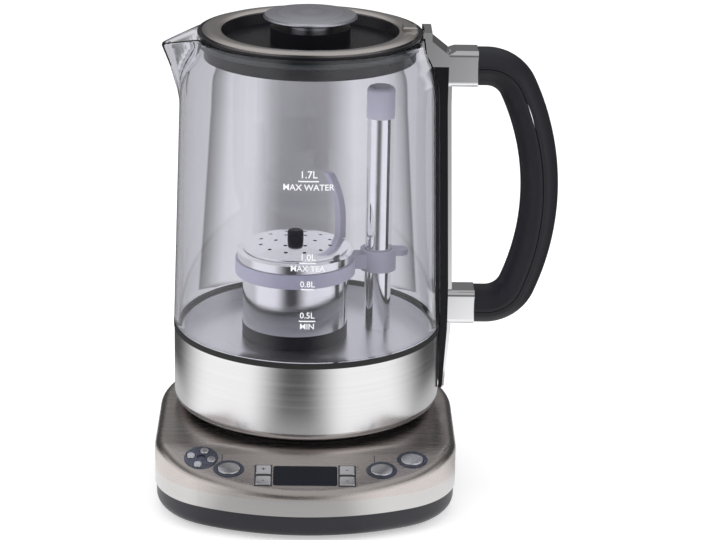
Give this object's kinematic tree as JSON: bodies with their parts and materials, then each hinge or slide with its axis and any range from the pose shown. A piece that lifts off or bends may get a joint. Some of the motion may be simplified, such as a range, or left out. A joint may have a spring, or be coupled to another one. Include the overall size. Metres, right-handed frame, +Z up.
{
  "type": "automatic tea maker",
  "caption": "Cordless glass jug with a motor-lifted tea basket, lift-off lid, spout and loop handle on a sloping powered base with display and keys",
  "frame": {"origin": "on the jug's vertical axis at table level, in the middle of the centre foot's underside", "axes": "+Z up, +X from the jug's axis towards its handle, -Y towards the display and keys"},
  "size_m": [0.2222, 0.1945, 0.2665],
  "materials": {
    "feet_rubber": "matte",
    "base_black": "satin black moulding",
    "deck_steel": "fine horizontal brushing",
    "trim_steel": "satin",
    "fixing_steel": "plain",
    "inner_plastic": "matte",
    "contact_brass": "polished",
    "board_green": "matte",
    "display_black": "gloss",
    "surround_black": "gloss",
    "key_chrome": "polished",
    "jug_glass": "clear",
    "gasket_black": "matte",
    "band_steel": "fine horizontal brushing",
    "floor_steel": "satin",
    "heater_aluminium": "cast",
    "post_chrome": "polished",
    "cap_grey": "matte",
    "basket_steel": "satin",
    "basket_dark": "matte",
    "lid_black": "gloss",
    "ring_steel": "warm satin",
    "seal_silicone": "matte",
    "knob_steel": "satin",
    "handle_black": "satin",
    "handle_chrome": "polished"
  },
  "bodies": {
    "base": {"base_feet": "feet_rubber", "base_tray": "base_black", "base_screws": "fixing_steel", "cord_gland": "gasket_black", "trim_band": "trim_steel", "deck": "deck_steel", "seat_plate": "inner_plastic", "connector_hub": "inner_plastic", "connector_contacts": "contact_brass", "control_board": "board_green", "display_module": "inner_plastic", "display_window": "display_black", "power_board": "board_green", "button_surrounds": "surround_black", "tact_switches": "inner_plastic"},
    "shutter": {"connector_shutter": "inner_plastic"},
    "jug": {"jug_band": "band_steel", "jug_gasket": "gasket_black", "jug_floor": "floor_steel", "heating_element": "heater_aluminium", "temperature_probe": "inner_plastic", "jug_underside": "inner_plastic", "jug_connector": "inner_plastic", "underside_screws": "fixing_steel", "lift_post": "post_chrome", "post_cap": "cap_grey", "lift_motor": "fixing_steel", "glass_jug": "jug_glass", "handle_spine": "handle_black", "spine_trim": "handle_chrome", "rim_clip": "handle_chrome", "upper_bracket": "handle_chrome", "lower_bracket": "handle_chrome", "grip_outer": "handle_black", "grip_inner": "handle_black", "handle_screws": "fixing_steel"},
    "screw": {"lead_screw": "fixing_steel"},
    "nut": {"magnet_nut": "fixing_steel"},
    "carriage": {"carriage": "cap_grey"},
    "basket": {"basket_drum": "basket_steel", "basket_base": "basket_dark", "basket_handle": "cap_grey"},
    "basket_lid": {"basket_lid": "basket_steel", "basket_lid_knob": "basket_dark"},
    "lid": {"lid_dish": "lid_black", "lid_ring": "ring_steel", "lid_tab": "ring_steel", "lid_seal": "seal_silicone", "lid_knob": "knob_steel"},
    "menu_button_body": {"menu_button": "key_chrome"},
    "start_button_body": {"start_button": "key_chrome"},
    "power_button_body": {"power_button": "key_chrome"},
    "left_upper_key_body": {"left_upper_key": "key_chrome"},
    "left_lower_key_body": {"left_lower_key": "key_chrome"},
    "right_upper_key_body": {"right_upper_key": "key_chrome"},
    "right_lower_key_body": {"right_lower_key": "key_chrome"},
    "pad_right_key_body": {"pad_right_key": "key_chrome"},
    "pad_up_key_body": {"pad_up_key": "key_chrome"},
    "pad_left_key_body": {"pad_left_key": "key_chrome"},
    "pad_down_key_body": {"pad_down_key": "key_chrome"}
  },
  "joints": [
    {"name": "jug_turn", "type": "hinge", "parent": "base", "child": "shutter", "pos_m": [0, 0, 0.04], "axis": [0, 0, 1], "continuous": true},
    {"name": "jug_lift", "type": "slide", "parent": "shutter", "child": "jug", "axis": [0, 0, 1], "range_m": [0, 0.06]},
    {"name": "lid_lift", "type": "slide", "parent": "jug", "child": "lid", "axis": [0, 0, 1], "range_m": [0, 0.1]},
    {"name": "carriage_slide", "type": "slide", "parent": "jug", "child": "carriage", "axis": [0, 0, 1], "range_m": [0, 0.07]},
    {"name": "nut_slide", "type": "slide", "parent": "jug", "child": "nut", "axis": [0, 0, 1], "range_m": [0, 0.07]},
    {"name": "screw_turn", "type": "hinge", "parent": "jug", "child": "screw", "pos_m": [0.04, 0.012, 0.07], "axis": [0, 0, 1], "range_deg": [0, 3160]},
    {"name": "basket_lift", "type": "slide", "parent": "carriage", "child": "basket", "axis": [0, 0, 1], "range_m": [0, 0.07]},
    {"name": "basket_lid_lift", "type": "slide", "parent": "basket", "child": "basket_lid", "axis": [0, 0, 1], "range_m": [0, 0.03]},
    {"name": "menu_button_press", "type": "slide", "parent": "base", "child": "menu_button_body", "axis": [0, 0.3024, -0.9532], "range_m": [0, 0.0007], "stiffness_N_per_m": 400},
    {"name": "start_button_press", "type": "slide", "parent": "base", "child": "start_button_body", "axis": [0, 0.3024, -0.9532], "range_m": [0, 0.0007], "stiffness_N_per_m": 400},
    {"name": "power_button_press", "type": "slide", "parent": "base", "child": "power_button_body", "axis": [0, 0.3024, -0.9532], "range_m": [0, 0.0007], "stiffness_N_per_m": 400},
    {"name": "left_upper_key_press", "type": "slide", "parent": "base", "child": "left_upper_key_body", "axis": [0, 0.3024, -0.9532], "range_m": [0, 0.0007], "stiffness_N_per_m": 400},
    {"name": "left_lower_key_press", "type": "slide", "parent": "base", "child": "left_lower_key_body", "axis": [0, 0.3024, -0.9532], "range_m": [0, 0.0007], "stiffness_N_per_m": 400},
    {"name": "right_upper_key_press", "type": "slide", "parent": "base", "child": "right_upper_key_body", "axis": [0, 0.3024, -0.9532], "range_m": [0, 0.0007], "stiffness_N_per_m": 400},
    {"name": "right_lower_key_press", "type": "slide", "parent": "base", "child": "right_lower_key_body", "axis": [0, 0.3024, -0.9532], "range_m": [0, 0.0007], "stiffness_N_per_m": 400},
    {"name": "pad_right_key_press", "type": "slide", "parent": "base", "child": "pad_right_key_body", "axis": [0, 0.3024, -0.9532], "range_m": [0, 0.0007], "stiffness_N_per_m": 400},
    {"name": "pad_up_key_press", "type": "slide", "parent": "base", "child": "pad_up_key_body", "axis": [0, 0.3024, -0.9532], "range_m": [0, 0.0007], "stiffness_N_per_m": 400},
    {"name": "pad_left_key_press", "type": "slide", "parent": "base", "child": "pad_left_key_body", "axis": [0, 0.3024, -0.9532], "range_m": [0, 0.0007], "stiffness_N_per_m": 400},
    {"name": "pad_down_key_press", "type": "slide", "parent": "base", "child": "pad_down_key_body", "axis": [0, 0.3024, -0.9532], "range_m": [0, 0.0007], "stiffness_N_per_m": 400}
  ],
  "couplings": [
    {"joint": "nut_slide", "follows": "carriage_slide", "ratio": 1},
    {"joint": "screw_turn", "follows": "carriage_slide", "rad_per_m": 785.4}
  ]
}
